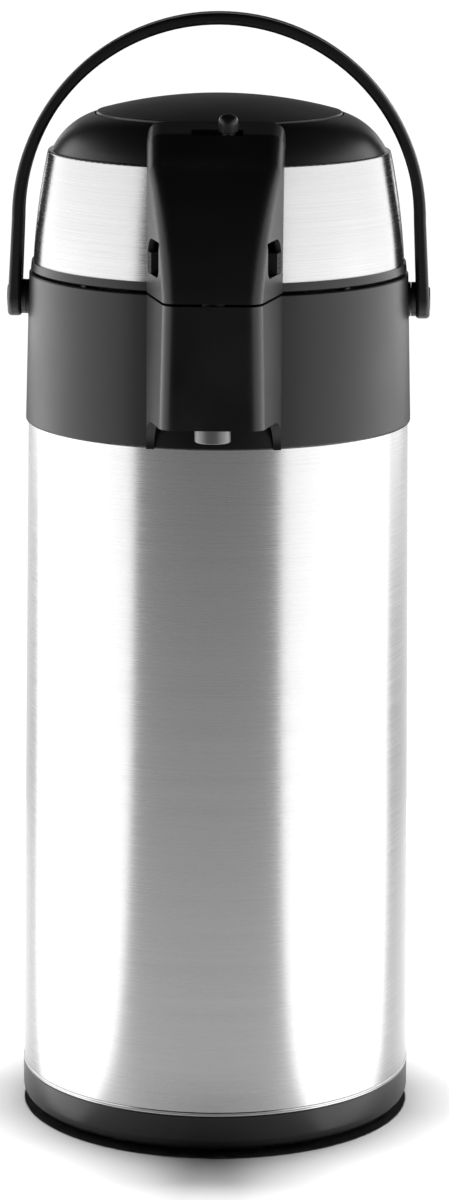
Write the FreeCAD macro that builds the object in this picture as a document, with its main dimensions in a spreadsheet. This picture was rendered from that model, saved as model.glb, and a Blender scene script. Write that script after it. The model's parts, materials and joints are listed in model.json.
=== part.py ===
"""Pump-action thermal coffee airpot: a vacuum flask with a hinged pump lid, a front spout and a bail handle.

Millimetres. The origin is the centre of the foot on the table, +Z is up and the spout faces -Y.
"""
import FreeCAD, Part
import math
import os
import Sketcher
from FreeCAD import Placement, Rotation, Vector

DOCUMENT = FreeCAD.newDocument("airpot")

SIZES = {
    # swivel foot and base
    "mat_radius": 70.0,
    "mat_height": 1.6,
    "turntable_radius": 76.0,
    "turntable_low": 1.0,
    "turntable_high": 5.0,
    "hub_radius": 9.95,
    "hub_high": 8.7,
    "base_floor_low": 5.3,
    "base_floor_high": 8.3,
    "base_rim_low": 2.6,
    "base_bore_radius": 10.0,
    "base_recess_radius": 78.0,
    "base_radius": 91.2,
    "base_corner_radius": 6.0,
    "base_high": 20.0,
    # vacuum flask
    "steel_wall": 0.8,
    "casing_radius_low": 91.0,
    "casing_radius_high": 88.2,
    "casing_shoulder_low": 331.0,
    "shoulder_radius": 34.0,
    "neck_radius": 42.0,
    "neck_high": 390.6,
    "liner_radius": 76.5,
    "liner_low": 36.0,
    "liner_shoulder_low": 318.0,
    "liner_neck_radius": 38.8,
    # collar and spout tower
    "collar_low": 327.5,
    "collar_high": 396.6,
    "collar_radius_low": 89.4,
    "collar_radius_high": 87.8,
    "collar_lip_radius": 88.3,
    "collar_inner_radius": 85.2,
    "tower_front": 122.5,
    "tower_root": 83.5,
    "tower_back": 56.0,
    "tower_front_half": 20.6,
    "tower_root_half": 30.1,
    "tower_back_half": 31.3,
    "tower_flare_angle": 1.2,
    "tower_wall": 2.9,
    "tower_low": 342.0,
    "tower_corner_radius": 7.5,
    "arch_radius": 14.0,
    # pouring parts
    "holder_high": 409.0,
    "riser_radius": 5.0,
    "pipe_radius": 5.0,
    "pipe_bore_radius": 3.5,
    "pipe_level": 403.0,
    "pipe_bend_radius": 12.0,
    "nozzle_depth": 106.0,
    "nozzle_radius": 8.0,
    "nozzle_low": 334.5,
    # handle
    "pivot_level": 384.0,
    "handle_radius": 95.5,
    "handle_centre_level": 420.8,
    "handle_thickness": 5.4,
    "handle_depth": 18.0,
    "ear_outer": 97.9,
    "ear_inner": 91.2,
    "pivot_radius": 5.0,
    "boss_radius": 8.0,
    # lid
    "hinge_depth": 94.5,
    "hinge_level": 397.2,
    "hinge_pin_radius": 2.0,
    "knuckle_radius": 5.5,
    "lid_low": 397.8,
    "rim_high": 401.8,
    "rim_radius": 87.0,
    "band_radius_low": 85.8,
    "band_radius_high": 79.2,
    "band_high": 453.1,
    "band_curve_radius": 330.0,
    "cap_curve_radius": 32.0,
    "cap_radius": 77.2,
    "cap_high": 469.7,
    "cap_wall": 2.4,
    "guide_radius": 57.5,
    "guide_low": 440.0,
    "beak_curve_radius": 112.0,
    "beak_brow_depth": 71.0,
    "beak_brow_level": 467.0,
    "beak_edge_radius": 7.0,
    # pump
    "housing_radius": 49.0,
    "housing_wall": 2.0,
    "housing_high": 441.5,
    "bellows_base_low": 414.0,
    "bellows_base_high": 416.4,
    "plate_radius": 56.7,
    "plate_high": 478.5,
    "plate_crown_radius": 213.0,
    "plate_wall": 2.2,
    "skirt_low": 456.0,
    "spring_radius": 19.0,
    "spring_wire_radius": 1.0,
    # lock slider and side latches
    "slot_depth": 68.5,
    "slot_half_width": 3.4,
    "slot_left": 11.0,
    "slot_right": 12.0,
    "knob_radius": 4.4,
    "knob_height": 7.4,
    "knob_offset": 5.5,
    "knob_tilt": 18.0,
    "pocket_front": 109.0,
    "pocket_back": 85.5,
    "pocket_low": 407.0,
    "pocket_high": 423.0,
}


class Dim:
    """A size with its value and the spreadsheet expression that gives it."""

    def __init__(self, value, text):
        self.value = value
        self.text = text

    def joined(self, sign, other, value):
        return Dim(value, "(" + self.text + " " + sign + " " + other.text + ")")

    def __add__(self, other):
        other = as_dim(other)
        return self.joined("+", other, self.value + other.value)

    def __sub__(self, other):
        other = as_dim(other)
        return self.joined("-", other, self.value - other.value)

    def __mul__(self, other):
        other = as_dim(other)
        return self.joined("*", other, self.value * other.value)

    def __truediv__(self, other):
        other = as_dim(other)
        return self.joined("/", other, self.value / other.value)

    def __neg__(self):
        return Dim(-self.value, "(-1 * " + self.text + ")")


def as_dim(size):
    """A plain number as a Dim; a Dim stays as it is."""
    if isinstance(size, Dim):
        return size
    return Dim(float(size), "(" + repr(float(size)) + ")")


def fill_sheet():
    """Put every driving size in the spreadsheet, under its own alias."""
    sheet = DOCUMENT.addObject("Spreadsheet::Sheet", "Dimensions")
    for row, (name, size) in enumerate(SIZES.items(), start=1):
        sheet.set("A" + str(row), name.replace("_", " "))
        sheet.set("B" + str(row), str(size))
        sheet.setAlias("B" + str(row), name)
    DOCUMENT.recompute()


def size(name):
    return Dim(SIZES[name], "Dimensions." + name)


# ---------------------------------------------------------------- sketches and features

PLANES = {"XY": "XY_Plane", "XZ": "XZ_Plane", "YZ": "YZ_Plane"}
NORMAL_SIGN = {"XY": 1.0, "XZ": -1.0, "YZ": 1.0}
CENTRE_TIP = 3
HORIZONTAL_AXIS = -1
VERTICAL_AXIS = -2
ROOT_THREE_HALVES = math.sqrt(3.0) / 2.0


def new_body(label):
    body = DOCUMENT.addObject("PartDesign::Body", label)
    body.Label = label
    return body


def origin_plane(body, plane):
    for feature in body.Origin.OriginFeatures:
        if feature.Role == PLANES[plane]:
            return feature
    raise ValueError("no origin plane " + plane)


class Drawing:
    """Collects a sketch's geometry and constraints, then binds each size to the sheet."""

    def __init__(self, body, plane, offset):
        self.sketch = body.newObject("Sketcher::SketchObject", body.Label + "_sketch")
        self.sketch.AttachmentSupport = [(origin_plane(body, plane), "")]
        self.sketch.MapMode = "FlatFace"
        offset = as_dim(offset)
        along = offset * NORMAL_SIGN[plane]
        self.sketch.AttachmentOffset = Placement(Vector(0, 0, along.value), Rotation())
        self.sketch.setExpression("AttachmentOffset.Base.z", along.text)
        self.constraints = []
        self.bindings = []

    def measure(self, kind, where, distance):
        distance = as_dim(distance)
        self.constraints.append(Sketcher.Constraint(kind, *where, distance.value))
        self.bindings.append(distance.text)

    def relate(self, kind, *where):
        self.constraints.append(Sketcher.Constraint(kind, *where))
        self.bindings.append(None)

    def place(self, index, tip, across, up):
        """Fix a point's two coordinates."""
        for kind, axis, distance in (
            ("DistanceX", VERTICAL_AXIS, as_dim(across)),
            ("DistanceY", HORIZONTAL_AXIS, as_dim(up)),
        ):
            if abs(distance.value) < 1e-9:
                self.relate("PointOnObject", index, tip, axis)
            else:
                self.measure(kind, (index, tip), distance)

    def circle(self, across, up, radius):
        centre = Vector(as_dim(across).value, as_dim(up).value, 0)
        shape = Part.Circle(centre, Vector(0, 0, 1), as_dim(radius).value)
        index = self.sketch.addGeometry(shape, False)
        self.measure("Radius", (index,), radius)
        self.place(index, CENTRE_TIP, across, up)

    def edge(self, start, end):
        """Draw a line, or an arc where the end has a radius and a turn. Return its index and two tips."""
        first = Vector(as_dim(start[0]).value, as_dim(start[1]).value, 0)
        last = Vector(as_dim(end[0]).value, as_dim(end[1]).value, 0)
        if len(end) == 2:
            return self.sketch.addGeometry(Part.LineSegment(first, last), False), 1, 2
        radius, turn = as_dim(end[2]), end[3]
        chord = last - first
        left = Vector(-chord.y, chord.x, 0).normalize()
        rise = math.sqrt(max(radius.value ** 2 - (chord.Length / 2.0) ** 2, 0.0))
        centre = (first + last) * 0.5 + left * rise * turn
        tips = [first, last] if turn > 0 else [last, first]
        angles = [math.atan2(tip.y - centre.y, tip.x - centre.x) for tip in tips]
        if angles[1] < angles[0]:
            angles[1] += 2.0 * math.pi
        circle = Part.Circle(centre, Vector(0, 0, 1), radius.value)
        index = self.sketch.addGeometry(Part.ArcOfCircle(circle, *angles), False)
        self.measure("Radius", (index,), radius)
        return (index, 1, 2) if turn > 0 else (index, 2, 1)

    def loop(self, corners):
        """Draw a closed loop. A corner is (across, up), or (across, up, radius, turn) where the edge that
        reaches it is an arc: turn is 1 for a left turn and -1 for a right turn."""
        edges = [self.edge(start, end) for start, end in zip(corners, corners[1:] + corners[:1])]
        for corner, here, before in zip(corners, edges, edges[-1:] + edges[:-1]):
            self.relate("Coincident", before[0], before[2], here[0], here[1])
            self.place(here[0], here[1], corner[0], corner[1])

    def finish(self):
        indices = self.sketch.addConstraint(self.constraints)
        for index, text in zip(indices, self.bindings):
            if text is not None:
                self.sketch.setExpression("Constraints[" + str(index) + "]", text)
        return self.sketch


def draw(body, plane, loops, offset=0.0):
    """Sketch closed loops on a plane of the body's origin, moved along the row's axis by offset."""
    drawing = Drawing(body, plane, offset)
    for corners in loops:
        if corners[0] == "circle":
            drawing.circle(*corners[1:])
        else:
            drawing.loop(corners)
    return drawing.finish()


def volume(body):
    return body.Shape.Volume if body.Tip is not None else 0.0


def check_change(body, before, removes):
    """A feature that adds or removes nothing is a mistake, so it stops the script."""
    DOCUMENT.recompute()
    change = volume(body) - before
    if (change > -1e-3) if removes else (change < 1e-3):
        raise ValueError(body.Label + ": a feature changed nothing")


def revolve(body, corners, removes=False):
    """Turn one profile, drawn as radius and height, about the Z axis."""
    before = volume(body)
    sketch = draw(body, "XZ", [corners])
    kind = "PartDesign::Groove" if removes else "PartDesign::Revolution"
    feature = body.newObject(kind, body.Label + "_turned")
    feature.Profile = sketch
    feature.ReferenceAxis = (sketch, ["V_Axis"])
    feature.Angle = 360.0
    check_change(body, before, removes)
    return feature


def extrude(body, plane, loops, low, high, removes=False):
    """Pad or pocket loops between two places along the plane's axis."""
    before = volume(body)
    low, high = as_dim(low), as_dim(high)
    sketch = draw(body, plane, loops, (low + high) * 0.5)
    feature = body.newObject("PartDesign::Pocket" if removes else "PartDesign::Pad", body.Label + "_prism")
    feature.Profile = sketch
    feature.SideType = "Symmetric"
    feature.setExpression("Length", (high - low).text)
    check_change(body, before, removes)
    return feature


def fillet(body, radius, chosen):
    """Round the edges of the body's last feature that chosen() picks."""
    base = body.Tip
    names = ["Edge" + str(i) for i, edge in enumerate(base.Shape.Edges, start=1) if chosen(edge)]
    feature = body.newObject("PartDesign::Fillet", body.Label + "_round")
    feature.Base = (base, names)
    feature.setExpression("Radius", as_dim(radius).text)
    DOCUMENT.recompute()
    return feature


def rectangle(left, right, bottom, top):
    return [(left, bottom), (right, bottom), (right, top), (left, top)]


def ring_of(radius, count, first_angle):
    """Places evenly spread on a circle, as pairs of sizes."""
    places = []
    for step in range(count):
        angle = math.radians(first_angle + 360.0 * step / count)
        places.append((as_dim(radius) * math.cos(angle), as_dim(radius) * math.sin(angle)))
    return places


def boolean(kind, label, base, tool):
    result = DOCUMENT.addObject(kind, label)
    result.Label = label
    result.Base = base
    result.Tool = tool
    DOCUMENT.recompute()
    return result


# ---------------------------------------------------------------- foot and base


def foot_mat():
    body = new_body("foot_mat")
    edge = 0.4
    radius, top = size("mat_radius"), size("mat_height")
    revolve(body, [(0, 0), (radius - edge, 0), (radius, edge), (radius, top), (0, top)])
    return body


def turntable():
    """A disc that stays on the table while the pot turns; its hub is screwed through the base."""
    body = new_body("turntable")
    low, high, edge = size("turntable_low"), size("turntable_high"), 0.6
    outer, hub = size("turntable_radius"), size("hub_radius")
    revolve(body, [
        (0, size("mat_height")),
        (size("mat_radius"), size("mat_height")),
        (size("mat_radius"), low),
        (outer - edge, low),
        (outer, low + edge),
        (outer, high),
        (hub, high),
        (hub, size("hub_high")),
        (0, size("hub_high")),
    ])
    extrude(body, "XY", [("circle", 0, 0, 2.5)], 3.5, size("hub_high"), removes=True)
    return body


def swivel_washer():
    body = new_body("swivel_washer")
    low = size("hub_high")
    extrude(body, "XY", [("circle", 0, 0, 16.0), ("circle", 0, 0, 2.7)], low, low + 1.2)
    return body


def swivel_screw():
    """A pan-head screw with a hexagon socket, down into the turntable's hub."""
    body = new_body("swivel_screw")
    seat = size("hub_high") + 1.2
    revolve(body, [(0, 3.6), (2.45, 3.6), (2.45, seat), (5.0, seat), (5.0, seat + 2.2), (4.2, seat + 3.0),
                   (0, seat + 3.0)])
    socket = ring_of(2.3, 6, 0.0)
    extrude(body, "XY", [socket], seat + 1.2, seat + 3.0, removes=True)
    return body


def base_cup():
    """The black bottom cap: a spigot inside the casing, a rounded lower edge, a recess for the turntable."""
    body = new_body("base_cup")
    radius, corner = size("base_radius"), size("base_corner_radius")
    rim, top = size("base_rim_low"), size("base_high")
    spigot = size("casing_radius_low") - size("steel_wall") - 0.2
    revolve(body, [
        (size("base_bore_radius"), size("base_floor_low")),
        (size("base_recess_radius"), size("base_floor_low")),
        (size("base_recess_radius"), rim),
        (radius - corner, rim),
        (radius, rim + corner, corner, 1),
        (radius, top - 0.6),
        (radius - 0.5, top),
        (spigot, top),
        (spigot, top + 7.0),
        (spigot - 3.0, top + 7.0),
        (spigot - 3.0, size("base_floor_high")),
        (size("base_bore_radius"), size("base_floor_high")),
    ])
    # stiffening ribs on the floor, under the flask
    ribs = [rib_outline(26.0, spigot.value - 2.0, 1.2, angle) for angle in range(0, 180, 45)]
    for rib in ribs:
        extrude(body, "XY", [rib], size("base_floor_high"), size("base_floor_high") + 9.0)
    extrude(body, "XY", [("circle", 0, 0, 24.0)], size("base_floor_high"), size("base_floor_high") + 10.0,
            removes=True)
    return body


def rib_outline(inner, outer, half_thickness, angle):
    """A bar right across the base, from rim to rim."""
    cosine, sine = math.cos(math.radians(angle)), math.sin(math.radians(angle))
    corners = [(-outer, -half_thickness), (outer, -half_thickness), (outer, half_thickness),
               (-outer, half_thickness)]
    return [(x * cosine - y * sine, x * sine + y * cosine) for x, y in corners]


# ---------------------------------------------------------------- vacuum flask


def shoulder(radius, start, neck, neck_high, curve):
    """The outline of a flask's shoulder, from the wall's top up to the neck's top: an arc of 60 degrees, a
    30 degree cone and a straight neck."""
    arc_end = (radius - curve * 0.5, start + curve * ROOT_THREE_HALVES)
    cone_run = arc_end[0] - neck
    cone_end = (neck, arc_end[1] + cone_run / math.sqrt(3.0))
    return [(radius, start), (arc_end[0], arc_end[1], curve, 1), cone_end, (neck, neck_high)]


def inner_side(corners):
    """The same stretch walked back, with its arc turning the other way."""
    start, arc, cone, top = corners
    return [top, cone, arc[:2], (start[0], start[1], arc[2], -1)]


def outer_casing():
    """The brushed steel wall of the vacuum flask, very slightly tapered, with its shoulder and neck."""
    body = new_body("outer_casing")
    wall, foot = size("steel_wall"), size("base_high")
    low, high = size("casing_radius_low"), size("casing_radius_high")
    start, curve = size("casing_shoulder_low"), size("shoulder_radius")
    outside = shoulder(high, start, size("neck_radius"), size("neck_high"), curve)
    inside = shoulder(high - wall, start, size("neck_radius") - wall, size("neck_high"), curve - wall)
    revolve(body, [(low - wall, foot), (low, foot)] + outside + inner_side(inside))
    return body


def inner_liner():
    """The steel bottle inside, joined to the casing by the rolled flange at its mouth."""
    body = new_body("inner_liner")
    wall, low, radius = size("steel_wall"), size("liner_low"), size("liner_radius")
    start, curve, corner = size("liner_shoulder_low"), size("shoulder_radius"), 10.0
    mouth = size("neck_high")
    outside = shoulder(radius, start, size("liner_neck_radius"), mouth, curve)
    inside = shoulder(radius - wall, start, size("liner_neck_radius") - wall, mouth + wall, curve - wall)
    revolve(body, [
        (0, low),
        (radius - corner, low),
        (radius, low + corner, corner, 1),
    ] + outside + [
        (size("neck_radius"), mouth),
        (size("neck_radius"), mouth + wall),
    ] + inner_side(inside) + [
        (radius - wall, low + corner),
        (radius - corner, low + wall, as_dim(corner) - wall, -1),
        (0, low + wall),
    ])
    return body


def vacuum_base():
    """The dished disc welded into the casing's bottom to close the vacuum space."""
    body = new_body("vacuum_base")
    wall, floor, flange = size("steel_wall"), 28.4, 6.6
    outer = size("casing_radius_low") - wall - 0.3
    revolve(body, [(0, floor), (outer, floor), (outer, floor + flange), (outer - wall, floor + flange),
                   (outer - wall, as_dim(floor) + wall), (0, as_dim(floor) + wall)])
    return body


# ---------------------------------------------------------------- collar with the spout tower


def tower_plan(inset, back, front_inset):
    """The tower seen from above: sides that draw in towards the front, and a little behind the root too."""
    run = size("tower_front") - size("tower_root")
    slope = (size("tower_root_half") - size("tower_front_half")) / run
    back_run = size("tower_root") - size("tower_back")
    back_slope = (size("tower_back_half") - size("tower_root_half")) / back_run
    front = size("tower_front") - front_inset
    root_half = size("tower_root_half") - as_dim(inset) * math.hypot(1.0, slope.value)
    front_half = root_half - (front - size("tower_root")) * slope
    back_half = root_half + (size("tower_root") - back) * back_slope
    return [(-front_half, -front), (front_half, -front), (root_half, -size("tower_root")), (back_half, -back),
            (-back_half, -back), (-root_half, -size("tower_root"))]


def is_front_corner(edge):
    """An upright edge at the tower's front."""
    box = edge.BoundBox
    return box.ZLength > 5.0 and box.YMax < -SIZES["tower_front"] + 0.01


def flare(body, angle):
    """Lean the tower's slanting sides outwards, so that they spread downwards from its level top."""
    base = body.Tip
    faces = list(enumerate(base.Shape.Faces, start=1))
    tops = ["Face" + str(i) for i, face in faces if face.CenterOfMass.z > SIZES["collar_high"] - 0.01]
    sides = ["Face" + str(i) for i, face in faces
             if abs(face.CenterOfMass.x) > 10.0 and face.CenterOfMass.y < -SIZES["tower_root"]]
    feature = body.newObject("PartDesign::Draft", body.Label + "_flare")
    feature.Base = (base, sides)
    feature.NeutralPlane = (base, tops)
    feature.setExpression("Angle", angle.text)
    DOCUMENT.recompute()
    if feature.Shape.Volume < base.Shape.Volume:
        feature.Reversed = True
    DOCUMENT.recompute()
    return feature


def tower_shell():
    """The hollow spout tower, open at the top and the bottom, with arched cheeks under it."""
    body = new_body("tower_shell")
    low, high, wall = size("collar_low"), size("collar_high"), size("tower_wall")
    extrude(body, "XY", [tower_plan(0.0, as_dim(70.0), 0.0)], low, high)
    flare(body, size("tower_flare_angle"))
    fillet(body, size("tower_corner_radius"), is_front_corner)
    extrude(body, "XY", [tower_plan(wall, as_dim(60.0), wall * 0.87)], low - 1.0, high + 1.0, removes=True)
    # the underside: level under the front, then an arch down to the collar's lower edge
    arch, level = size("arch_radius"), size("tower_low")
    arch_start = as_dim(86.0)
    extrude(body, "YZ", [[
        (-size("tower_front") - 2.0, low - 2.0),
        (-arch_start, low - 2.0),
        (-arch_start, level - arch),
        (-arch_start - arch, level, arch, 1),
        (-size("tower_front") - 2.0, level),
    ]], -40.0, 40.0, removes=True)
    # the walls start inside the collar's own wall
    inside = 0.6
    revolve(body, [
        (0, low - 1.0),
        (size("collar_radius_low") - inside, low - 1.0),
        (size("collar_radius_high") - inside, high + 1.0),
        (0, high + 1.0),
    ], removes=True)
    return body


def collar_ring():
    """The collar's own ring, with screw bosses and a ledge for the deck, handle bosses and hinge lugs."""
    body = new_body("collar_ring")
    low, high = size("collar_low"), size("collar_high")
    lip, inner, edge = size("collar_lip_radius"), size("collar_inner_radius"), 0.9
    revolve(body, [
        (lip, low),
        (size("collar_radius_low") - edge, low),
        (size("collar_radius_low"), low + edge, edge, 1),
        (size("collar_radius_high"), high - 0.5),
        (size("collar_radius_high") - 0.5, high),
        (inner, high),
        (inner, 393.3),
        (inner - 3.0, 393.0),
        (inner - 3.0, 391.6),
        (inner, 388.6),
        (inner, 349.0),
        (inner + 1.4, 344.0),
        (lip, 334.0),
    ])
    # bosses under the deck for its four screws
    for across, deep in ring_of(DECK_SCREW_RADIUS, 4, 45.0):
        extrude(body, "XY", [("circle", across, deep, 4.4)], 368.0, 392.6)
    # round bosses that the handle's pivots run in
    pivot, boss = size("pivot_level"), size("boss_radius")
    for side in (-1.0, 1.0):
        ends = sorted([side * (SIZES["collar_inner_radius"] - 0.6), side * 88.9])
        extrude(body, "YZ", [("circle", 0, pivot, boss)], *ends)
    bore = size("pivot_radius") + 0.05
    extrude(body, "YZ", [("circle", 0, pivot, bore)], -95.0, 95.0, removes=True)
    reach = size("collar_inner_radius") - 0.6
    extrude(body, "YZ", [("circle", 0, pivot, boss)], -reach, reach, removes=True)
    for across, deep in ring_of(DECK_SCREW_RADIUS, 4, 45.0):
        extrude(body, "XY", [("circle", across, deep, 1.2)], 376.0, 394.0, removes=True)
    # two lugs behind for the lid's hinge pin
    depth, level, knuckle = size("hinge_depth"), size("hinge_level"), size("knuckle_radius")
    web_foot = size("collar_radius_high") - 1.6
    for side in (-1.0, 1.0):
        ends = sorted([side * 14.2, side * 21.0])
        extrude(body, "YZ", [[
            (web_foot - 1.2, level - 25.0),
            (depth + knuckle, level - 7.0),
            (depth + knuckle, level),
            (depth, level + knuckle, knuckle, 1),
            (depth - knuckle, level, knuckle, 1),
            (depth - knuckle, level - 2.2),
            (web_foot - 1.2, level - 2.2),
        ]], *ends)
    extrude(body, "YZ", [("circle", depth, level, size("hinge_pin_radius"))], -30.0, 30.0, removes=True)
    return body


DECK_SCREW_RADIUS = 81.5


def collar():
    """Ring and tower are one moulding."""
    return boolean("Part::Fuse", "collar", collar_ring(), tower_shell())


def inner_deck():
    """The funnel-shaped deck between the flask's mouth and the collar, seen when the lid is open."""
    body = new_body("inner_deck")
    sleeve = size("neck_radius") + 0.4
    outer = size("collar_inner_radius") - 0.3
    revolve(body, [(sleeve, 380.0), (sleeve + 2.6, 380.0), (sleeve + 2.6, 389.7), (outer, 393.6),
                   (outer, 395.8), (sleeve, 392.2)])
    holes = [("circle", across, deep, 1.7) for across, deep in ring_of(DECK_SCREW_RADIUS, 4, 45.0)]
    extrude(body, "XY", holes, 386.0, 398.0, removes=True)
    return body


def screws(label, places, tip, seat, head_top):
    """Small screws that share one node: a shank from tip to seat and a head from seat to head_top."""
    solids = []
    for across, deep in places:
        foot = Vector(as_dim(across).value, as_dim(deep).value, 0)
        low, high = sorted([tip, seat])
        shank = Part.makeCylinder(1.15, high - low, foot + Vector(0, 0, low))
        low, high = sorted([seat, head_top])
        head = Part.makeCylinder(2.8, high - low, foot + Vector(0, 0, low))
        slot_middle = head_top - math.copysign(0.35, head_top - seat)
        slot = Part.makeBox(6.0, 0.7, 0.8, foot + Vector(-3.0, -0.35, slot_middle - 0.4))
        solids.append(shank.fuse(head).cut(slot).removeSplitter())
    feature = DOCUMENT.addObject("Part::Feature", label)
    feature.Label = label
    feature.Shape = Part.makeCompound(solids)
    feature.Placement = Placement()
    return feature


def deck_screws():
    return screws("deck_screws", ring_of(DECK_SCREW_RADIUS, 4, 45.0), 380.0, 395.85, 397.2)


def hinge_pin():
    body = new_body("hinge_pin")
    circle = ("circle", size("hinge_depth"), size("hinge_level"), size("hinge_pin_radius") - 0.01)
    extrude(body, "YZ", [circle], -21.6, 21.6)
    return body


# ---------------------------------------------------------------- pouring parts


def neck_gasket():
    body = new_body("neck_gasket")
    low = size("neck_high") + size("steel_wall")
    revolve(body, rectangle(38.3, 41.8, low, low + 1.5))
    return body


def tube_holder():
    """The seat in the flask's mouth: it holds the riser, and air enters the flask past its spokes."""
    body = new_body("tube_holder")
    seat, flange, top = 392.9, 396.0, size("holder_high")
    revolve(body, [(35.0, 380.0), (37.4, 380.0), (37.4, seat), (41.6, seat), (41.6, flange), (31.0, flange),
                   (31.0, top), (28.4, top), (28.4, 393.6), (35.0, 393.6)])
    for spoke in (rectangle(-36.0, 36.0, -1.1, 1.1), rectangle(-1.1, 1.1, -36.0, 36.0)):
        extrude(body, "XY", [spoke], 383.0, 391.0)
    extrude(body, "XY", [("circle", 0, 0, 8.0)], 383.0, size("pipe_level") + 5.5)
    riser = size("riser_radius")
    extrude(body, "XY", [("circle", 0, 0, riser)], 382.0, 396.0, removes=True)
    extrude(body, "XY", [("circle", 0, 0, size("pipe_bore_radius"))], 395.0, size("pipe_level") + 3.0,
            removes=True)
    level = size("pipe_level")
    extrude(body, "XZ", [("circle", 0, level, size("pipe_bore_radius"))], -9.0, 0.0, removes=True)
    extrude(body, "XZ", [("circle", 0, level, size("pipe_radius") + 0.1)], -33.0, -20.0, removes=True)
    return body


def riser_tube():
    """The straight tube from just above the liner's floor, cut with two notches at its foot."""
    body = new_body("riser_tube")
    foot, top = size("liner_low") + 3.0, as_dim(396.0)
    outer = size("riser_radius") - 0.01
    extrude(body, "XY", [("circle", 0, 0, outer), ("circle", 0, 0, outer - 1.2)], foot, top)
    extrude(body, "XZ", [rectangle(-1.5, 1.5, foot - 1.0, foot + 5.0)], -8.0, 8.0, removes=True)
    return body


def pour_pipe():
    """The pipe from the holder, forward over the collar and down the tower to the nozzle."""
    body = new_body("pour_pipe")
    level, bend, depth = size("pipe_level"), size("pipe_bend_radius"), size("nozzle_depth")
    start, foot = as_dim(8.1), size("nozzle_low") + 9.0
    ring = draw(body, "XZ", [("circle", 0, level, size("pipe_radius")),
                             ("circle", 0, level, size("pipe_bore_radius"))], -start)
    path = Drawing(body, "YZ", 0.0)
    knots = [(-start, level), (-depth + bend, level), (-depth, level - bend, bend, 1), (-depth, foot)]
    edges = [path.edge(first, last) for first, last in zip(knots, knots[1:])]
    for knot, here in zip(knots, edges):
        path.place(here[0], here[1], knot[0], knot[1])
    for here, after in zip(edges, edges[1:]):
        path.relate("Coincident", here[0], here[2], after[0], after[1])
    path.place(edges[-1][0], edges[-1][2], knots[-1][0], knots[-1][1])
    spine = path.finish()
    DOCUMENT.recompute()
    feature = body.newObject("PartDesign::AdditivePipe", "pour_pipe_swept")
    feature.Profile = ring
    feature.Spine = (spine, ["Edge" + str(i + 1) for i in range(len(edges))])
    DOCUMENT.recompute()
    return body


def nozzle():
    """The short round nozzle that hangs under the tower."""
    body = new_body("nozzle")
    centre, low = -size("nozzle_depth"), size("nozzle_low")
    outer = size("nozzle_radius")
    extrude(body, "XY", [("circle", 0, centre, outer)], low, low + 15.5)
    extrude(body, "XY", [("circle", 0, centre, size("pipe_radius") + 0.01)], low + 9.0, low + 16.0, removes=True)
    extrude(body, "XY", [("circle", 0, centre, size("pipe_bore_radius"))], low + 4.0, low + 10.0, removes=True)
    extrude(body, "XY", [("circle", 0, centre, 6.2)], low - 1.0, low + 5.0, removes=True)
    fillet(body, 0.6, lambda edge: edge.BoundBox.ZMax < SIZES["nozzle_low"] + 0.01)
    return body


def nozzle_ring():
    """The rubber ring that seals the pipe in the nozzle."""
    body = new_body("nozzle_ring")
    level = size("nozzle_low") + 15.5
    inner = size("pipe_radius") + 0.02
    centre = -size("nozzle_depth")
    extrude(body, "XY", [("circle", 0, centre, inner + 2.2), ("circle", 0, centre, inner)], level, level + 2.2)
    fillet(body, 0.8, lambda edge: edge.BoundBox.XLength > 12.0)
    return body


def spout_plate():
    """The plate that closes the tower's underside round the nozzle."""
    body = new_body("spout_plate")
    low = size("tower_low") + 2.0
    inset = size("tower_wall") + 0.2
    extrude(body, "XY", [tower_plan(inset, as_dim(80.0), inset)], low, low + 2.4)
    radius = SIZES["tower_corner_radius"] - 3.0

    def front_corner(edge):
        box = edge.BoundBox
        return box.YMax < -SIZES["tower_front"] + 4.0 and box.ZLength > 2.0 and box.YLength < 0.01

    fillet(body, radius, front_corner)
    revolve(body, rectangle(0, size("collar_radius_low") - 0.2, low - 1.0, low + 4.0), removes=True)
    extrude(body, "XY", [("circle", 0, -size("nozzle_depth"), size("nozzle_radius") + 0.1)], low - 1.0,
            low + 4.0, removes=True)
    return body


# ---------------------------------------------------------------- handle


def handle():
    """The bail: a half circle on two legs that spread a little towards the ears."""
    body = new_body("handle")
    outer, thick = size("handle_radius"), size("handle_thickness")
    inner, level = outer - thick, size("handle_centre_level")
    low = size("pivot_level") - size("handle_depth") * 0.5
    ear_out, ear_in = size("ear_outer"), size("ear_inner")
    half = size("handle_depth") * 0.5
    extrude(body, "XZ", [[
        (ear_out, low),
        (outer, level),
        (0, level + outer, outer, 1),
        (-outer, level, outer, 1),
        (-ear_out, low),
        (-ear_in, low),
        (-ear_in, low + 17.0),
        (-inner, level),
        (0, level + inner, inner, -1),
        (inner, level, inner, -1),
        (ear_in, low + 17.0),
        (ear_in, low),
    ]], -half, half)
    lowest = SIZES["pivot_level"] - SIZES["handle_depth"] / 2.0

    def is_ear_end(edge):
        box = edge.BoundBox
        return box.ZMax < lowest + 0.01 and box.YLength < 0.01

    fillet(body, half - 0.2, is_ear_end)

    def is_long_edge(edge):
        box = edge.BoundBox
        return box.YLength < 0.01 and box.ZLength > 5.0

    fillet(body, 1.8, is_long_edge)
    for side in (-1.0, 1.0):
        ends = sorted([side * (SIZES["ear_inner"] - 1.0), side * (SIZES["ear_inner"] + 4.0)])
        extrude(body, "YZ", [("circle", 0, size("pivot_level"), 4.0)], *ends, removes=True)
    return body


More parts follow.
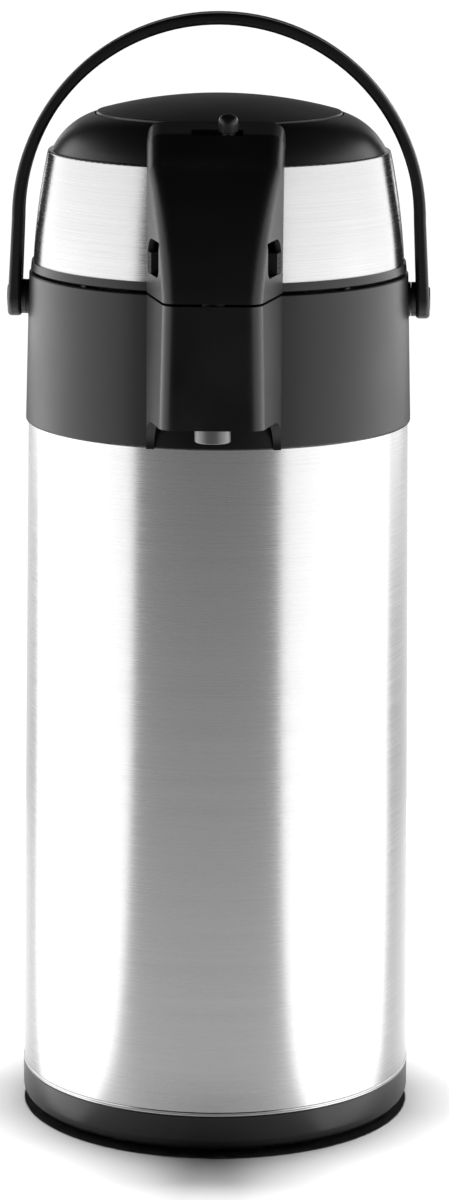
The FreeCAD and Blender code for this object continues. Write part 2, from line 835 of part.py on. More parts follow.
def handle_pivots():
    """A pivot pin at each ear: a stub in the ear, a flange, the bearing and a snap head inside the collar."""
    solids = []
    inner, pivot = SIZES["ear_inner"], SIZES["pivot_level"]
    steps = [(82.6, 84.3, 6.2), (84.3, 89.2, SIZES["pivot_radius"]), (89.2, inner, SIZES["boss_radius"]),
             (inner, inner + 3.8, 3.95)]
    for side in (-1.0, 1.0):
        pieces = [Part.makeCylinder(radius, end - start, Vector(side * start, 0, pivot), Vector(side, 0, 0))
                  for start, end, radius in steps]
        solids.append(pieces[0].multiFuse(pieces[1:]).removeSplitter())
    feature = DOCUMENT.addObject("Part::Feature", "handle_pivots")
    feature.Label = "handle_pivots"
    feature.Shape = Part.makeCompound(solids)
    feature.Placement = Placement()
    return feature


# ---------------------------------------------------------------- lid shells


LID_SCREW_RADIUS = 55.0


def lid_rim():
    """The lid's lower ring and floor, with a slot over the pipe and the hinge knuckle behind."""
    body = new_body("lid_rim")
    low, high, radius = size("lid_low"), size("rim_high"), size("rim_radius")
    band = size("band_radius_low")
    revolve(body, [
        (46.0, low),
        (radius - 0.4, low),
        (radius, low + 0.4),
        (radius - 0.4, high),
        (band - 1.2, high),
        (band - 1.7, high + 6.2),
        (band - 3.7, high + 6.2),
        (band - 3.7, low + 2.0),
        (46.0, low + 2.0),
    ])
    extrude(body, "XZ", [rectangle(-9.0, 9.0, low - 1.0, high + 9.0)], -90.0, -40.0, removes=True)
    # knuckle and its web
    depth, level, knuckle = size("hinge_depth"), size("hinge_level"), size("knuckle_radius")
    extrude(body, "YZ", [[
        (depth - knuckle, level),
        (depth, level - knuckle, knuckle, 1),
        (depth + knuckle, level, knuckle, 1),
        (depth, level + knuckle, knuckle, 1),
        (radius - 0.5, high),
        (radius - 3.0, low + 1.0),
        (depth - knuckle, low + 1.0),
    ]], -13.8, 13.8)
    extrude(body, "YZ", [("circle", depth, level, size("hinge_pin_radius") + 0.05)], -20.0, 20.0, removes=True)
    holes = [("circle", across, deep, 1.6) for across, deep in ring_of(LID_SCREW_RADIUS, 4, 45.0)]
    extrude(body, "XY", holes, low - 1.0, low + 3.0, removes=True)
    return body


def band_outline(inset):
    """The outline of the steel band's outer face, moved inwards."""
    return [
        (size("band_radius_low") - inset, size("rim_high")),
        (size("band_radius_high") - inset, size("band_high") - 0.9, size("band_curve_radius"), 1),
    ]


def lid_band():
    """The brushed steel band round the lid, with its top edge turned in and a gap behind the beak."""
    body = new_body("lid_band")
    wall, top = size("steel_wall"), size("band_high")
    low, high = size("band_radius_low"), size("band_radius_high")
    curve = size("band_curve_radius")
    revolve(body, band_outline(0.0) + [
        (high - 0.9, top, 0.9, 1),
        (high - 2.8, top),
        (high - 2.8, top - wall),
        (high - wall - 0.4, top - wall),
        (high - wall, top - wall - 0.4),
        (low - wall, size("rim_high"), curve - wall, -1),
    ])
    extrude(body, "XZ", [rectangle(-27.0, 27.0, size("rim_high") - 1.0, top + 1.0)], -95.0, -60.0, removes=True)
    return body


def beak_outline(inset, back):
    """The beak seen from the side: level below, a curved front, then a brow that rises to the plate."""
    front = size("tower_front") - inset
    brow_depth, brow = size("beak_brow_depth"), size("beak_brow_level") - as_dim(inset) * 1.15
    foot = size("lid_low") - as_dim(inset) * 2.0
    return [
        (-front, foot),
        (-back, foot),
        (-back, brow + (brow_depth - back) * 0.26),
        (-brow_depth, brow),
        (-front, size("lid_low"), size("beak_curve_radius") - inset, 1),
    ]


def beak_form(label, inset, back):
    """The beak as a solid: its plan raised, then trimmed to its side outline."""
    body = new_body(label)
    low, top = size("lid_low") - as_dim(inset) * 2.0, as_dim(480.0)
    extrude(body, "XY", [tower_plan(inset, back, inset)], low, top)
    trim = beak_outline(inset, back)
    curve = trim[4]
    extrude(body, "YZ", [[
        (-size("tower_front") - 30.0, size("lid_low")),
        (curve[0], curve[1]),
        (trim[3][0], trim[3][1], curve[2], -1),
        (trim[2][0] + 2.0, trim[2][1] + 0.52),
        (trim[2][0] + 2.0, 490.0),
        (-size("tower_front") - 30.0, 490.0),
    ]], -45.0, 45.0, removes=True)
    return body


def is_beak_edge(edge):
    """The edges between the beak's sides and its curved front and brow."""
    box = edge.BoundBox
    middle = (box.XMax + box.XMin) / 2.0
    rises = box.ZMax > SIZES["lid_low"] + 8.0
    return abs(middle) > 15.0 and box.XLength < 12.0 and rises and box.ZLength > 1.0 and box.YLength > 5.0


def lid_top():
    """The black cap with its round opening, and the beak, in one moulding."""
    form = beak_form("beak_form", 0.0, as_dim(56.0))
    fillet(form, size("beak_edge_radius"), is_beak_edge)
    # the beak stands outside the steel band
    clear = -0.15
    outline = band_outline(clear)
    top = size("band_high") + 0.1
    low = size("lid_low") - 2.0
    rim = size("rim_radius") - clear
    revolve(form, [(0, low), (rim, low), (rim, size("rim_high"))] + outline
            + [(size("band_radius_high") - clear, top), (0, top)], removes=True)
    guide, wall = size("guide_radius"), size("cap_wall")
    revolve(form, rectangle(0, guide, 450.0, 485.0), removes=True)
    base, cap = size("band_high") + 0.1, size("cap_radius")
    curve, high = size("cap_curve_radius"), size("cap_high")
    revolve(form, [
        (guide, size("guide_low")),
        (guide + 2.0, size("guide_low")),
        (guide + 2.0, high - 3.1),
        (cap - 3.1, base + 0.6, curve - wall, -1),
        (cap - 3.3, base - 5.0),
        (cap - 1.1, base - 5.0),
        (cap - 1.1, base),
        (cap, base),
        (guide + 0.9, high, curve, 1),
        (guide, high + 0.1),
    ])
    cavity = beak_form("beak_cavity", wall, as_dim(60.5))
    hollow = boolean("Part::Cut", "lid_top_hollow", form, cavity)
    slots = new_body("lid_top_slots")
    depth, half = size("slot_depth"), size("slot_half_width")
    ends = rectangle(-size("slot_left"), size("slot_right"), -depth - half, -depth + half)
    extrude(slots, "XY", [ends], 455.0, 480.0)
    pockets = new_body("lid_top_pockets")
    extrude(pockets, "YZ", [pocket_outline()], -40.0, 40.0)
    tongue_way = new_body("lid_top_tongue_way")
    extrude(tongue_way, "XY", [rectangle(2.5, 22.5, -61.0, -50.0)], 452.6, 456.6)
    tools = DOCUMENT.addObject("Part::MultiFuse", "lid_top_tools")
    tools.Shapes = [slots, pockets, tongue_way]
    return boolean("Part::Cut", "lid_top", hollow, tools)


def pocket_outline():
    """The side opening that a latch sits in: high in front, rounded off behind."""
    front, back = -size("pocket_front"), -size("pocket_back")
    low, high = size("pocket_low"), size("pocket_high")
    nose, heel, brow, crest = as_dim(4.0), as_dim(POCKET_HEEL), as_dim(9.0), as_dim(1.2)
    return [
        (front + nose, low, nose, 1),
        (back - heel, low),
        (back, low + heel, heel, 1),
        (back, high - brow),
        (back - brow, high, brow, 1),
        (front + crest, high),
        (front, high - crest, crest, 1),
        (front, low + nose),
    ]


POCKET_HEEL = 2.5


def bellows_housing():
    """The cup inside the lid that the bellows works in, with its floor above the pipe."""
    body = new_body("bellows_housing")
    outer, wall = size("housing_radius"), size("housing_wall")
    foot, shelf = size("lid_low") + 2.0, size("bellows_base_low") - 2.0
    inner, flange = outer - wall, as_dim(61.0)
    revolve(body, [
        (inner, foot),
        (flange, foot),
        (flange, foot + 2.0),
        (outer, foot + 2.0),
        (outer, size("housing_high")),
        (inner, size("housing_high")),
        (inner, shelf + 2.0),
        (24.0, shelf + 2.0),
        (24.0, shelf),
        (inner, shelf),
    ])
    for across, deep in ring_of(LID_SCREW_RADIUS, 4, 45.0):
        extrude(body, "XY", [("circle", across, deep, 3.4)], foot, foot + 8.0)
    holes = [("circle", across, deep, 1.2) for across, deep in ring_of(LID_SCREW_RADIUS, 4, 45.0)]
    extrude(body, "XY", holes, foot - 1.0, foot + 7.0, removes=True)
    extrude(body, "XZ", [rectangle(-9.0, 9.0, foot - 1.0, shelf - 0.6)], -70.0, -40.0, removes=True)
    return body


def lid_screws():
    low = SIZES["lid_low"]
    return screws("lid_screws", ring_of(LID_SCREW_RADIUS, 4, 45.0), low + 8.0, low, low - 1.4)


def lid_gasket():
    body = new_body("lid_gasket")
    low, high = size("holder_high") + 0.3, size("bellows_base_low") - 2.0
    revolve(body, [(28.4, low + 0.8), (29.2, low), (30.4, low), (31.2, low + 0.8), (31.2, high), (28.4, high)])
    return body


# ---------------------------------------------------------------- pump


def bellows_base():
    """The disc under the bellows, with air holes round the valve's stem."""
    body = new_body("bellows_base")
    inner = size("housing_radius") - size("housing_wall")
    low, high = size("bellows_base_low"), size("bellows_base_high")
    extrude(body, "XY", [("circle", 0, 0, inner - 0.2)], low, high)
    holes = [("circle", across, deep, 2.2) for across, deep in ring_of(9.0, 6, 0.0)]
    extrude(body, "XY", holes + [("circle", 0, 0, 1.7)], low - 1.0, high + 1.0, removes=True)
    return body


def valve_flap():
    """The rubber flap that lets air into the flask and not back."""
    body = new_body("valve_flap")
    low, high = size("bellows_base_low"), size("bellows_base_high")
    revolve(body, [(0, low - 1.3), (13.5, low - 0.7), (13.5, low - 0.1), (1.6, low - 0.1), (1.6, high + 0.1),
                   (2.8, high + 0.1), (2.0, high + 1.6), (0, high + 1.6)])
    return body


def bellows():
    """The rubber bellows, a zigzag wall between two flanges."""
    body = new_body("bellows")
    foot, head = size("bellows_base_high") + 0.1, size("skirt_low") + 4.0
    folds, wide, narrow, wall, flange = 6, 45.5, 37.5, 1.1, 1.2
    fold = (head - foot - 2.0 * flange) / folds
    outside, inside = [], []
    for step in range(folds):
        low = foot + flange + fold * step
        outside += [(narrow, low), (wide, low + fold * 0.5)]
        inside += [(narrow - wall, low), (wide - wall * 1.6, low + fold * 0.5)]
    end = head - flange
    outside.append((narrow, end))
    inside.append((narrow - wall, end))
    rim = 30.0
    corners = [(rim, foot), (46.0, foot), (46.0, foot + flange)] + outside
    corners += [(44.0, end), (44.0, head), (rim, head), (rim, end)]
    corners += inside[::-1] + [(rim, foot + flange)]
    revolve(body, corners)
    return body


def pump_spring():
    """The coil spring that lifts the plate."""
    body = new_body("pump_spring")
    wire, radius = size("spring_wire_radius"), size("spring_radius")
    foot = size("bellows_base_high") + wire + 0.2
    sketch = draw(body, "XZ", [("circle", radius, foot, wire)])
    feature = body.newObject("PartDesign::AdditiveHelix", "pump_spring_coil")
    feature.Profile = sketch
    feature.ReferenceAxis = (sketch, ["V_Axis"])
    feature.Mode = "height-turns-angle"
    feature.setExpression("Height", (size("plate_high") - size("plate_wall") - 2.6 - wire - foot).text)
    feature.Turns = 9
    DOCUMENT.recompute()
    return body


def crown_level(reach, inset):
    """The height, at a distance from the axis, of the plate's crown or of the surface inset below it."""
    crown = SIZES["plate_crown_radius"]
    return SIZES["plate_high"] - crown + math.sqrt((crown - inset) ** 2 - reach ** 2)


def push_plate():
    """The crowned plate that is pressed to pump, with a skirt, a spring socket and a bellows seat."""
    body = new_body("push_plate")
    radius, top, crown = size("plate_radius"), size("plate_high"), size("plate_crown_radius")
    wall, skirt = size("plate_wall"), size("skirt_low")
    thick, edge = SIZES["plate_wall"], SIZES["plate_radius"] - 0.8
    seat_inner, seat_outer, seat_low = 33.0, 36.0, skirt + 4.05
    socket_inner, socket_outer, socket_low = 21.5, 23.5, skirt + 6.0
    skirt_inner = SIZES["plate_radius"] - thick
    revolve(body, [
        (0, top - wall),
        (socket_inner, crown_level(socket_inner, thick), crown - wall, -1),
        (socket_inner, socket_low),
        (socket_outer, socket_low),
        (socket_outer, crown_level(socket_outer, thick)),
        (seat_inner, crown_level(seat_inner, thick), crown - wall, -1),
        (seat_inner, seat_low),
        (seat_outer, seat_low),
        (seat_outer, crown_level(seat_outer, thick)),
        (skirt_inner, crown_level(skirt_inner, thick), crown - wall, -1),
        (skirt_inner, skirt),
        (radius, skirt),
        (radius, crown_level(edge, 0.0) - 0.8),
        (edge, crown_level(edge, 0.0), 1.0, 1),
        (0, top, crown, 1),
    ])
    return body


def bellows_ring():
    """The ring that clamps the bellows' upper flange to the plate's seat."""
    body = new_body("bellows_ring")
    head = size("skirt_low") + 4.0
    revolve(body, [(27.5, head - 2.8), (34.5, head - 2.8), (34.5, head - 1.25), (29.8, head - 1.25),
                   (29.8, head + 0.02), (32.8, head + 0.02), (32.8, head + 4.0), (27.5, head + 4.0)])
    return body


# ---------------------------------------------------------------- lock slider and side latches


def lock_slider():
    """A knob on a small plate under the slot; its tongue goes under the plate's skirt when locked."""
    body = new_body("slider_carriage")
    offset, depth = size("knob_offset"), size("slot_depth")
    low, tongue_low, tongue_high = as_dim(459.0), as_dim(453.2), as_dim(455.7)
    right, heel = offset + 15.5, -depth + 5.5
    extrude(body, "XY", [rectangle(offset - 7.0, right, -depth - 4.4, heel)], low - 1.2, low + 0.8)
    # tongue: down and back towards the skirt
    tongue, post = -depth + 1.5, right - 4.0
    extrude(body, "XY", [rectangle(post, right, tongue, -55.2)], tongue_low, tongue_high)
    extrude(body, "XY", [rectangle(post, right, tongue, heel)], tongue_low, low)
    stem = size("slot_half_width") - 0.4
    extrude(body, "XY", [("circle", offset, -depth, stem)], low, 469.5)
    # the knob leans forward, square to the brow
    knob = new_body("slider_knob")
    high = size("knob_height")
    extrude(knob, "XY", [("circle", 0, 0, size("knob_radius"))], 0.0, high)
    fillet(knob, 2.9, lambda edge: edge.BoundBox.ZMin > high.value - 0.01)
    fillet(knob, 0.6, lambda edge: edge.BoundBox.XLength > 7.0 and edge.BoundBox.ZMax < 0.01)
    foot = Vector(offset.value, -depth.value - 0.9, 468.3)
    knob.Placement = Placement(foot, Rotation(Vector(1, 0, 0), SIZES["knob_tilt"]))
    return boolean("Part::Fuse", "lock_slider", body, knob)


def latch(label, side):
    """A side latch: a tab flush with the beak's side, a sunk thumb pad, and an arm with a hook below."""
    body = new_body(label)
    gap = 0.35
    front, back = -size("pocket_front") + gap, -size("pocket_back") - gap
    low, high = size("pocket_low") + gap, size("pocket_low") + 9.4
    heel, inner, step = as_dim(POCKET_HEEL) - gap, 16.0, -size("pocket_back") - 7.5
    tab = sorted([side * inner, side * 34.0])
    extrude(body, "YZ", [[
        (step, low),
        (back - heel, low),
        (back, low + heel, heel, 1),
        (back, high - 2.0),
        (back - 2.0, high, 2.0, 1),
        (step, high),
    ]], *tab)
    # the tab's outer face follows the beak's slanting side
    run = size("tower_front") - size("tower_root")
    slope = (size("tower_root_half") - size("tower_front_half")) / run
    near = size("tower_root_half") - (size("pocket_back") - size("tower_root")) * slope
    far = near - slope * 12.0
    extrude(body, "XY", [[
        (near * side, -size("pocket_back") + 2.0),
        (near * side, -size("pocket_back")),
        (far * side, -size("pocket_back") - 12.0),
        (side * 38.0, -size("pocket_back") - 12.0),
        (side * 38.0, -size("pocket_back") + 2.0),
    ]], 400.0, 430.0, removes=True)
    pad = sorted([side * inner, side * 19.5])
    extrude(body, "YZ", [rectangle(front + 4.0, step, low, high - 1.5)], *pad)
    # arm and hook
    arm = sorted([side * inner, side * (inner + 2.4)])
    extrude(body, "YZ", [rectangle(-97.0, -89.0, 391.0, low + 3.0)], *arm)
    hook = sorted([side * inner, side * (inner + 4.6)])
    extrude(body, "YZ", [rectangle(-97.0, -89.0, 391.0, 393.0)], *hook)
    return body


# ---------------------------------------------------------------- document


def checked(part):
    """Stop at any object that failed or any shape that isn't a valid solid."""
    shape = part.Shape
    if shape.isNull() or not shape.isValid() or not shape.Solids:
        raise ValueError(part.Label + " has no valid solid")
    return shape


def main():
    fill_sheet()
    makers = [
        foot_mat, turntable, swivel_washer, swivel_screw, base_cup, outer_casing, inner_liner, vacuum_base,
        collar, inner_deck, deck_screws, hinge_pin, neck_gasket, tube_holder, riser_tube, pour_pipe, nozzle,
        nozzle_ring, spout_plate, handle, handle_pivots, lid_rim, lid_band, lid_top, bellows_housing,
        lid_screws, lid_gasket, bellows_base, valve_flap, bellows, pump_spring, push_plate, bellows_ring,
        lock_slider,
    ]
    parts = [maker() for maker in makers]
    parts.append(latch("latch_left", -1.0))
    parts.append(latch("latch_right", 1.0))
    DOCUMENT.recompute()
    for item in DOCUMENT.Objects:
        if "Invalid" in item.State or "Error" in item.State:
            raise ValueError(item.Label + " failed: " + ", ".join(item.State))
    os.makedirs("parts", exist_ok=True)
    for part in parts:
        shape = checked(part)
        shape.exportStep("parts/" + part.Label + ".step")
        print(part.Label, len(shape.Solids), "solid(s)", round(shape.Volume / 1000.0, 2), "cm3")


main()
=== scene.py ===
"""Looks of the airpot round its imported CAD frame: materials, fine pieces, studio, camera."""
import json
import math

import bpy
from mathutils import Matrix, Vector
from mathutils.bvhtree import BVHTree


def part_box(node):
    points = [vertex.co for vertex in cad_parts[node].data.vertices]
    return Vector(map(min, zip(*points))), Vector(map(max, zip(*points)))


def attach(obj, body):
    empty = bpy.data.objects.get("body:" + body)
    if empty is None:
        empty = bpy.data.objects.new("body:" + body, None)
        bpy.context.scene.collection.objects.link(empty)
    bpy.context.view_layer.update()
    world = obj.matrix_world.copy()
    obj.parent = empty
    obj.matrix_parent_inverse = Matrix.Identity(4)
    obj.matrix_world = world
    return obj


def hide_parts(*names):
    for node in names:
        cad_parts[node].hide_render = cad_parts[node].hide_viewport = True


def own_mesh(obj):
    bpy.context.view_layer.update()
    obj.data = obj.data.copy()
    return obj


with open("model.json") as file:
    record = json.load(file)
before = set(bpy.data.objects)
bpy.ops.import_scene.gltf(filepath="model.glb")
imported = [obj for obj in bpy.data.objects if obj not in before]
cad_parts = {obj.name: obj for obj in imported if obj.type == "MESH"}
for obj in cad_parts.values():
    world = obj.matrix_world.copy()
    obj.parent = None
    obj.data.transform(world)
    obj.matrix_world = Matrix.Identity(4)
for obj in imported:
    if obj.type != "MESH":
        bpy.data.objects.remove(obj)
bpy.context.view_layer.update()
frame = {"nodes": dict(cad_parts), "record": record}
NODES = frame["nodes"]
SLOT_OF = {part["node"]: part["material_slot"] for part in frame["record"]["subparts"]}
BEHAVIOUR = frame["record"]["behaviour"]
BODY_OF = {node: body for body, nodes in BEHAVIOUR["bodies"].items() for node in nodes}
JOINTS = {joint["name"]: joint for joint in BEHAVIOUR["joints"]}
MM = 0.001


# ---------------------------------------------------------------- shader helpers


def new_material(name):
    material = bpy.data.materials.new(name)
    material.use_nodes = True
    tree = material.node_tree
    return material, tree, tree.nodes["Principled BSDF"]


def add(tree, kind, **settings):
    """A node with its settings; a setting that names an input socket sets that input."""
    node = tree.nodes.new(kind)
    for name, value in settings.items():
        if name in node.inputs:
            node.inputs[name].default_value = value
        else:
            setattr(node, name, value)
    return node


def link(tree, source, target):
    tree.links.new(source, target)


def coordinates(tree, scale):
    """Object coordinates, scaled on each axis."""
    place = add(tree, "ShaderNodeTexCoord")
    mapping = add(tree, "ShaderNodeMapping", Scale=scale)
    link(tree, place.outputs["Object"], mapping.inputs["Vector"])
    return mapping.outputs["Vector"]


def noise(tree, scale, detail=4.0, roughness=0.5, stretch=(1.0, 1.0, 1.0)):
    node = add(tree, "ShaderNodeTexNoise", Scale=scale, Detail=detail, Roughness=roughness)
    link(tree, coordinates(tree, stretch), node.inputs["Vector"])
    return node.outputs["Fac"]


def ramp(tree, factor, stops):
    """Map a factor through colour stops, each (place, colour)."""
    node = add(tree, "ShaderNodeValToRGB")
    elements = node.color_ramp.elements
    while len(elements) < len(stops):
        elements.new(0.5)
    for element, (place, colour) in zip(elements, stops):
        element.position = place
        element.color = (*colour, 1.0)
    link(tree, factor, node.inputs["Fac"])
    return node.outputs["Color"]


def spread(tree, factor, low, high):
    """Map the middle half of a noise onto low to high."""
    node = add(tree, "ShaderNodeMapRange")
    node.inputs["From Min"].default_value = 0.25
    node.inputs["From Max"].default_value = 0.75
    node.inputs["To Min"].default_value = low
    node.inputs["To Max"].default_value = high
    link(tree, factor, node.inputs["Value"])
    return node.outputs["Result"]


def bump(tree, shader, height, strength, distance):
    node = add(tree, "ShaderNodeBump", Strength=strength, Distance=distance)
    link(tree, height, node.inputs["Height"])
    link(tree, node.outputs["Normal"], shader.inputs["Normal"])


def grey(value):
    return (value, value, value)


def scaled(colour, factor):
    return tuple(min(c * factor, 1.0) for c in colour)


# ---------------------------------------------------------------- materials

BRUSH_ANISOTROPY = 0.75
QUARTER_TURN = 0.25
# Pointiness is 0.5 on flat ground, and more than that on a convex edge.
WORN_FROM, WORN_TO = 0.52, 0.62


def brushed_steel(name, tone, rough, lines=900.0):
    """Steel brushed round the axis: fine level lines, broken up along their length."""
    material, tree, shader = new_material(name)
    shader.inputs["Metallic"].default_value = 1.0
    shader.inputs["Anisotropic"].default_value = BRUSH_ANISOTROPY
    shader.inputs["Anisotropic Rotation"].default_value = QUARTER_TURN
    fine = noise(tree, 6.0, 6.0, 0.7, (1.2, 1.2, lines))
    broad = noise(tree, 3.0, 3.0, 0.5, (2.0, 2.0, 60.0))
    tint = ramp(tree, fine, [(0.25, grey(tone * 0.86)), (0.75, grey(min(tone * 1.08, 1.0)))])
    link(tree, tint, shader.inputs["Base Color"])
    mixed = add(tree, "ShaderNodeMath", operation="ADD")
    link(tree, spread(tree, fine, rough * 0.8, rough * 1.15), mixed.inputs[0])
    link(tree, spread(tree, broad, -0.02, 0.02), mixed.inputs[1])
    link(tree, mixed.outputs[0], shader.inputs["Roughness"])
    tangent = add(tree, "ShaderNodeTangent", direction_type="RADIAL", axis="Z")
    link(tree, tangent.outputs["Tangent"], shader.inputs["Tangent"])
    bump(tree, shader, fine, 0.06, 0.0001)
    return material


def moulded_plastic(name, colour, rough, grain=2600.0, depth=0.1, specular=0.5):
    """Moulded plastic: a fine leathery grain, faint flow marks in its gloss, and paler worn edges."""
    material, tree, shader = new_material(name)
    shader.inputs["Specular IOR Level"].default_value = specular
    fine = noise(tree, grain, 2.0, 0.6)
    flow = noise(tree, 18.0, 4.0, 0.6)
    edge = add(tree, "ShaderNodeNewGeometry")
    worn = add(tree, "ShaderNodeMapRange")
    worn.inputs["From Min"].default_value = WORN_FROM
    worn.inputs["From Max"].default_value = WORN_TO
    link(tree, edge.outputs["Pointiness"], worn.inputs["Value"])
    base = ramp(tree, flow, [(0.3, scaled(colour, 0.92)), (0.7, scaled(colour, 1.08))])
    mix = add(tree, "ShaderNodeMix", data_type="RGBA")
    faded = add(tree, "ShaderNodeMath", operation="MULTIPLY")
    link(tree, worn.outputs["Result"], faded.inputs[0])
    link(tree, spread(tree, flow, 0.0, 0.5), faded.inputs[1])
    link(tree, faded.outputs[0], mix.inputs["Factor"])
    link(tree, base, mix.inputs["A"])
    mix.inputs["B"].default_value = (*[min(c * 2.2 + 0.01, 1.0) for c in colour], 1.0)
    link(tree, mix.outputs["Result"], shader.inputs["Base Color"])
    link(tree, spread(tree, flow, rough * 0.88, rough * 1.12), shader.inputs["Roughness"])
    bump(tree, shader, fine, depth, 0.0001)
    return material


def rubber(name, colour, rough):
    """Rubber: dull, with a soft bloom that varies and a very fine grain."""
    material, tree, shader = new_material(name)
    shader.inputs["Specular IOR Level"].default_value = 0.3
    bloom = noise(tree, 40.0, 5.0, 0.6)
    tint = ramp(tree, bloom, [(0.3, scaled(colour, 0.85)), (0.7, scaled(colour, 1.2))])
    link(tree, tint, shader.inputs["Base Color"])
    link(tree, spread(tree, bloom, rough * 0.9, min(rough * 1.1, 1.0)), shader.inputs["Roughness"])
    bump(tree, shader, noise(tree, 1800.0, 2.0), 0.2, 0.0002)
    return material


MATERIALS = {
    "casing_steel": brushed_steel("casing_steel", 0.275, 0.27),
    "liner_steel": brushed_steel("liner_steel", 0.5, 0.34, 500.0),
    "screw_steel": brushed_steel("screw_steel", 0.5, 0.3, 1500.0),
    # painted shade: the deck screws' steel is made near black, standing in for the shade of the
    # parting gap where they would glint
    "screw_steel_painted_shade": brushed_steel("screw_steel_painted_shade", 0.06, 0.4, 1500.0),
    "black_plastic": moulded_plastic("black_plastic", (0.0045, 0.0045, 0.0047), 0.36, specular=0.2),
    "latch_plastic": moulded_plastic("latch_plastic", (0.003, 0.003, 0.0031), 0.5, specular=0.06),
    "plate_plastic": moulded_plastic("plate_plastic", (0.009, 0.009, 0.0094), 0.5, grain=2000.0,
                                     depth=0.2, specular=0.4),
    "inner_plastic": moulded_plastic("inner_plastic", (0.05, 0.05, 0.053), 0.5),
    "nozzle_plastic": moulded_plastic("nozzle_plastic", (0.035, 0.035, 0.036), 0.4),
    "mat_rubber": rubber("mat_rubber", (0.02, 0.02, 0.02), 0.8),
    "seal_rubber": rubber("seal_rubber", (0.5, 0.49, 0.45), 0.6),
}


def dress(obj, slot):
    obj.data.materials.clear()
    obj.data.materials.append(MATERIALS[slot])


for node, obj in NODES.items():
    dress(obj, SLOT_OF[node])
# painted shade: the deck screws take the near-black steel, so they show as the shaded gap instead of
# glinting
dress(NODES["deck_screws"], "screw_steel_painted_shade")
for node in ("latch_left", "latch_right"):
    dress(NODES[node], "latch_plastic")


# ---------------------------------------------------------------- fine pieces

WELL_OUTSIDE = 0.2


def piece(name, mesh, material, body):
    """A smooth object that rides on a body."""
    for face in mesh.polygons:
        face.use_smooth = True
    obj = bpy.data.objects.new(name, mesh)
    obj.data.materials.append(MATERIALS[material])
    bpy.context.scene.collection.objects.link(obj)
    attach(obj, body)
    return obj


def grid_mesh(name, rows, closed_rows, closed_columns):
    """A mesh from rows of points; either direction may close on itself."""
    tall, wide = len(rows), len(rows[0])
    points = [point for row in rows for point in row]
    faces = []
    for i in range(tall if closed_rows else tall - 1):
        for j in range(wide if closed_columns else wide - 1):
            a, b = i * wide + j, i * wide + (j + 1) % wide
            c, d = ((i + 1) % tall) * wide + (j + 1) % wide, ((i + 1) % tall) * wide + j
            faces.append((a, b, c, d))
    mesh = bpy.data.meshes.new(name)
    mesh.from_pydata(points, [], faces)
    return mesh


def lathe(name, profile, material, body, turns=192):
    """A closed ring: a profile of (radius, height) turned round the object's axis."""
    rows = []
    for k in range(turns):
        angle = 2 * math.pi * k / turns
        rows.append([(r * math.cos(angle), r * math.sin(angle), z) for r, z in profile])
    return piece(name, grid_mesh(name, rows, True, True), material, body)


def bead(radius, level, out, high, count=12):
    """The outline of a half-round bead that stands out from a wall."""
    turns = [math.pi * (k / (count - 1) - 0.5) for k in range(count)]
    outline = [(radius + out * math.cos(t), level + high * math.sin(t)) for t in turns]
    return outline + [(radius - out, level)]


def ridge(name, points, outs, sides, wide, high, material, body):
    """A low ridge along points on a surface, with its ends tapered into it."""
    rows = []
    taper = 3.0
    for k, (point, out, side) in enumerate(zip(points, outs, sides)):
        fade = min(1.0, min(k, len(points) - 1 - k) / taper)
        row = []
        for t in (0.0, 0.25, 0.5, 0.75, 1.0):
            lift = (math.sin(math.pi * t) * 1.3 - 0.3) * high * fade
            row.append(point + side * (wide * (t - 0.5)) + out * lift)
        rows.append(row)
    return piece(name, grid_mesh(name, rows, False, False), material, body)


def surface_of(node):
    obj = NODES[node]
    corners = [v.co for v in obj.data.vertices]
    return BVHTree.FromPolygons(corners, [p.vertices for p in obj.data.polygons])


def from_the_side(tree, side, y, z):
    """The point and the normal where a line along x, from outside, first meets a surface."""
    return tree.ray_cast(Vector((side * WELL_OUTSIDE, y, z)), Vector((-side, 0, 0)))[:2]


def steel_hem():
    """The casing's rolled lower edge, which catches the light as a thin line above the base."""
    above_edge, out, high = 1.2 * MM, 0.35 * MM, 0.6 * MM
    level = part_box("outer_casing")[0][2] + above_edge
    hit = from_the_side(surface_of("outer_casing"), 1.0, 0, level)[0]
    profile = bead(hit.x, level, out, high)
    lathe("casing_hem", profile, "casing_steel", BODY_OF["outer_casing"])


def disc_on_side(name, side, x, centre, steps, body, slot, turns=72):
    """A turned cap on a face that looks along x: steps are (radius, height above the face)."""
    rows = []
    for radius, high in steps:
        row = []
        for k in range(turns):
            angle = 2 * math.pi * k / turns
            y, z = centre[0] + radius * math.cos(angle), centre[1] + radius * math.sin(angle)
            row.append((x + side * high, y, z))
        rows.append(row)
    return piece(name, grid_mesh(name, rows, False, True), slot, body)


def pivot_caps():
    """A dished cap with a raised rim on the outside of each ear, over the pivot."""
    centre = JOINTS["handle_swing"]["pos_m"][1:]
    steps = [(5.6, -0.3), (5.5, 0.35), (5.2, 0.5), (4.7, 0.45), (4.4, 0.15), (2.0, 0.1), (0.05, 0.1)]
    tree = surface_of("handle")
    for name, side in (("pivot_cap_left", -1.0), ("pivot_cap_right", 1.0)):
        hit = from_the_side(tree, side, *centre)[0]
        turned = [(r * MM, h * MM) for r, h in steps]
        disc_on_side(name, side, hit.x, centre, turned, BODY_OF["handle"], "black_plastic")


def hinge_caps():
    """The domed, riveted ends of the hinge pin."""
    low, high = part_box("hinge_pin")
    centre = ((low[1] + high[1]) / 2.0, (low[2] + high[2]) / 2.0)
    radius, high_dome, tip, count = 2.6, 0.9, 0.03, 9
    turns = [math.pi / 2 * k / (count - 1) for k in range(count)]
    dome = [(radius * math.cos(t), high_dome * math.sin(t)) for t in turns]
    for name, side, x in (("hinge_cap_left", -1.0, low[0]), ("hinge_cap_right", 1.0, high[0])):
        steps = [(max(r, tip) * MM, h * MM) for r, h in dome]
        disc_on_side(name, side, x, centre, steps, BODY_OF["hinge_pin"], "screw_steel")


